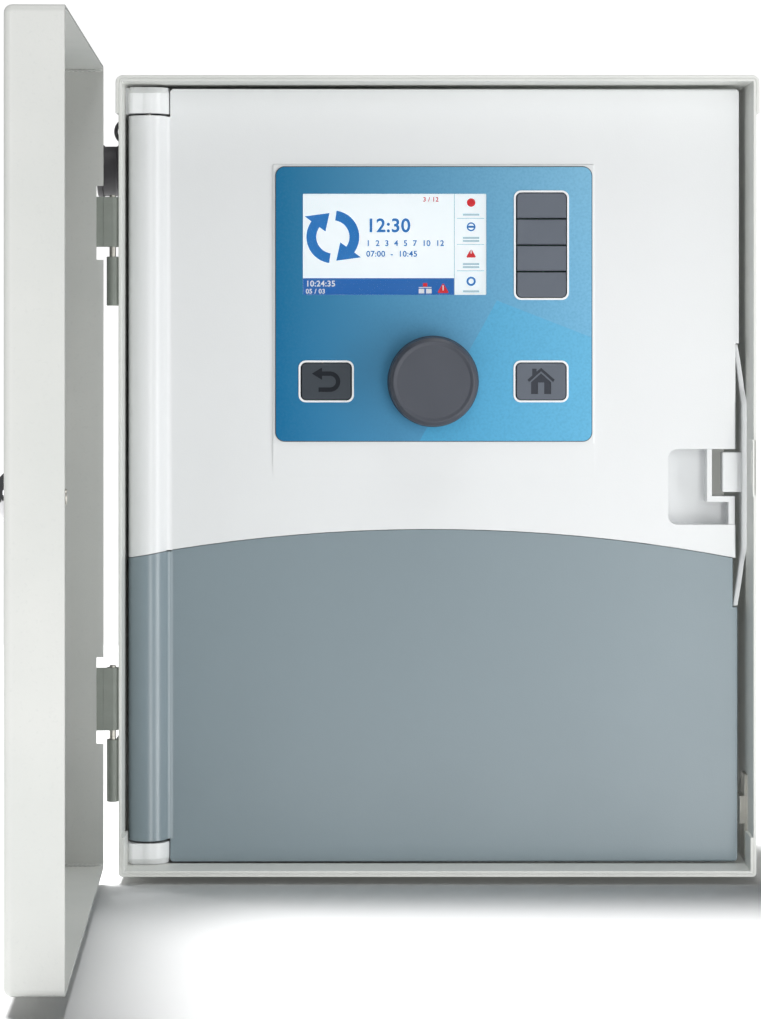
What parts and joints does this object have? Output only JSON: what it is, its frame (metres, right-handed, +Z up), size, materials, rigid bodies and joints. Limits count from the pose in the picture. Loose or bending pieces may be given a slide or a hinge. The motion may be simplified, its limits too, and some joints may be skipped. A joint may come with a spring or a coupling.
{
  "type": "irrigation controller",
  "caption": "Wall-mounted irrigation controller: sheet-metal cabinet with a hinged outer door, a hinged control panel, screen, keys and dial.",
  "frame": {"origin": "centre of the cabinet's back face, on the wall", "axes": "+Y into the wall, +Z up, +X to the right as one faces the controller"},
  "size_m": [0.3506, 0.4558, 0.4055],
  "materials": {
    "powder_coat": "fine-textured powder coat",
    "white_plastic": "fine moulded texture",
    "grey_plastic": "fine moulded texture",
    "overlay_film": "satin printed film",
    "key_rubber": "soft matt",
    "knob_plastic": "fine satin grain",
    "white_print": "printed white",
    "screen_glass": "clear",
    "display_module": "lit screen",
    "circuit_board": "solder mask",
    "dark_plastic": "moulded",
    "plated_steel": "zinc plated",
    "chrome_plate": "polished",
    "dark_rubber": "moulded rubber",
    "core_steel": "laminated stack",
    "coil_wrap": "wrapped winding",
    "bare_aluminium": "bare",
    "terminal_plastic": "moulded"
  },
  "bodies": {
    "cabinet": {"cabinet_shell": "powder_coat", "drip_hood": "powder_coat", "front_sill": "powder_coat", "conduit_plugs": "dark_plastic", "side_clip": "plated_steel", "lock_keeper": "powder_coat", "latch_strike": "plated_steel", "ground_lug": "bare_aluminium", "cabinet_hinge_leaves": "powder_coat", "port_body": "dark_plastic", "port_nut": "dark_plastic", "cap_tether": "dark_rubber", "pivot_block_top": "white_plastic", "pivot_block_bottom": "white_plastic", "panel_pivot_pins": "plated_steel", "module_tray": "plated_steel", "tray_screws": "plated_steel", "transformer_core": "core_steel", "transformer_coil": "coil_wrap", "transformer_strap": "plated_steel", "power_board": "circuit_board", "power_components": "dark_plastic", "board_standoffs": "plated_steel", "backplane_board": "circuit_board", "output_modules": "grey_plastic", "terminal_strips": "terminal_plastic", "terminal_screws": "plated_steel"},
    "outer_door": {"door_pan": "powder_coat", "door_hinge_leaves": "powder_coat", "hinge_pins": "plated_steel", "lock_body": "chrome_plate", "lock_nut": "plated_steel"},
    "lock_cylinder": {"lock_plug": "chrome_plate", "lock_cam": "plated_steel", "cam_screw": "plated_steel"},
    "dust_cap": {"dust_cap": "dark_rubber"},
    "panel": {"upper_cover": "white_plastic", "lower_cover": "grey_plastic", "barrel_core": "dark_plastic", "panel_frame": "dark_plastic", "rear_cover": "dark_plastic", "panel_screws": "plated_steel", "control_overlay": "overlay_film", "key_bezels": "white_print", "display_lens": "screen_glass", "display_panel": "display_module", "main_board": "circuit_board", "key_switches": "dark_plastic", "encoder_body": "plated_steel", "encoder_nut": "plated_steel"},
    "knob": {"knob": "knob_plastic", "knob_shaft": "plated_steel"},
    "soft_key_1": {"soft_key_1": "key_rubber"},
    "soft_key_2": {"soft_key_2": "key_rubber"},
    "soft_key_3": {"soft_key_3": "key_rubber"},
    "soft_key_4": {"soft_key_4": "key_rubber"},
    "back_key": {"back_key": "key_rubber"},
    "home_key": {"home_key": "key_rubber"},
    "latch": {"latch": "white_plastic"}
  },
  "joints": [
    {"name": "outer_door_hinge", "type": "hinge", "parent": "cabinet", "child": "outer_door", "pos_m": [-0.1617, -0.1349, 0], "axis": [0, 0, 1], "range_deg": [-32, 88]},
    {"name": "lock_turn", "type": "hinge", "parent": "outer_door", "child": "lock_cylinder", "pos_m": [-0.17173, -0.42363, 0.005], "axis": [-0.9994, -0.0349, 0], "range_deg": [0, 90]},
    {"name": "cap_pull", "type": "slide", "parent": "cabinet", "child": "dust_cap", "axis": [-1, 0, 0], "range_m": [0, 0.014]},
    {"name": "panel_hinge", "type": "hinge", "parent": "cabinet", "child": "panel", "pos_m": [-0.14565, -0.112, 0], "axis": [0, 0, 1], "range_deg": [-90, 0]},
    {"name": "knob_turn", "type": "hinge", "parent": "panel", "child": "knob", "pos_m": [-0.0018, -0.12, 0.0475], "axis": [0, -1, 0], "continuous": true},
    {"name": "latch_slide", "type": "slide", "parent": "panel", "child": "latch", "axis": [-1, 0, 0], "range_m": [0, 0.0021], "stiffness_N_per_m": 600},
    {"name": "soft_key_1_press", "type": "slide", "parent": "panel", "child": "soft_key_1", "axis": [0, 1, 0], "range_m": [0, 0.001], "stiffness_N_per_m": 300},
    {"name": "soft_key_2_press", "type": "slide", "parent": "panel", "child": "soft_key_2", "axis": [0, 1, 0], "range_m": [0, 0.001], "stiffness_N_per_m": 300},
    {"name": "soft_key_3_press", "type": "slide", "parent": "panel", "child": "soft_key_3", "axis": [0, 1, 0], "range_m": [0, 0.001], "stiffness_N_per_m": 300},
    {"name": "soft_key_4_press", "type": "slide", "parent": "panel", "child": "soft_key_4", "axis": [0, 1, 0], "range_m": [0, 0.001], "stiffness_N_per_m": 300},
    {"name": "back_key_press", "type": "slide", "parent": "panel", "child": "back_key", "axis": [0, 1, 0], "range_m": [0, 0.001], "stiffness_N_per_m": 300},
    {"name": "home_key_press", "type": "slide", "parent": "panel", "child": "home_key", "axis": [0, 1, 0], "range_m": [0, 0.001], "stiffness_N_per_m": 300}
  ]
}
